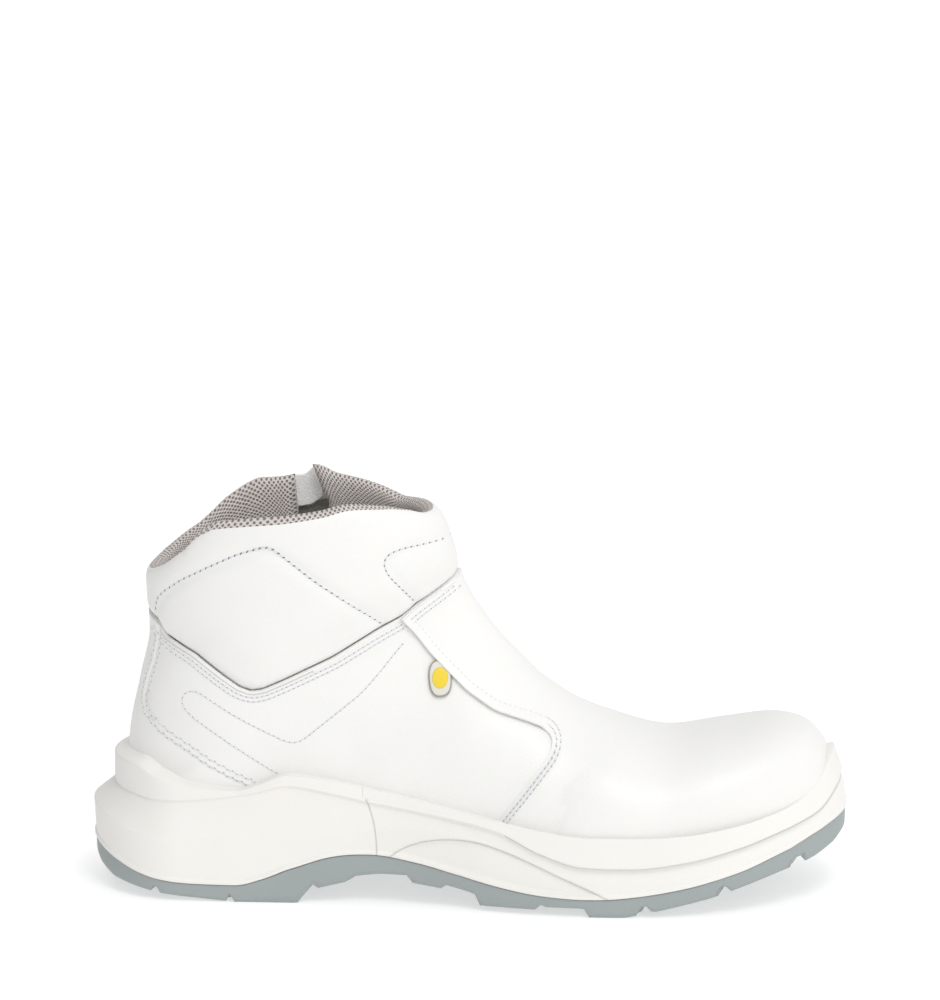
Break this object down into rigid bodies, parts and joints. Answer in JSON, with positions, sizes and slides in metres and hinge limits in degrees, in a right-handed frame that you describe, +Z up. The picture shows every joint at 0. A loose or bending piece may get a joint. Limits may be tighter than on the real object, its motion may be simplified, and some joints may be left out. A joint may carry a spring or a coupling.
{
  "type": "insulated work boot",
  "caption": "White slip-on safety boot for a right foot, with a padded V-edged collar, raised vamp and counter, sculpted foam midsole and blue-grey lugged outsole",
  "frame": {"origin": "centre of the boot's box on the floor", "axes": "+X to the toe, +Y medial, +Z up"},
  "size_m": [0.3008, 0.1086, 0.161],
  "materials": {
    "outsole_rubber": "matte moulded rubber",
    "midsole_foam": "soft matte moulded foam skin",
    "insole_fabric": "knitted fabric cover",
    "upper_microfibre": "smooth coated microfibre with a fine grain",
    "cuff_microfibre": "soft padded microfibre",
    "closure_tape": "hook and loop tape",
    "tab_fabric": "coated ribbon",
    "disc_plastic": "satin moulded disc"
  },
  "bodies": {
    "root": {"outsole": "outsole_rubber", "midsole": "midsole_foam", "insole": "insole_fabric", "upper": "upper_microfibre", "cuff": "cuff_microfibre", "closure_flap": "cuff_microfibre", "closure_tape": "closure_tape", "side_tab": "tab_fabric", "tab_disc": "disc_plastic"}
  },
  "joints": []
}
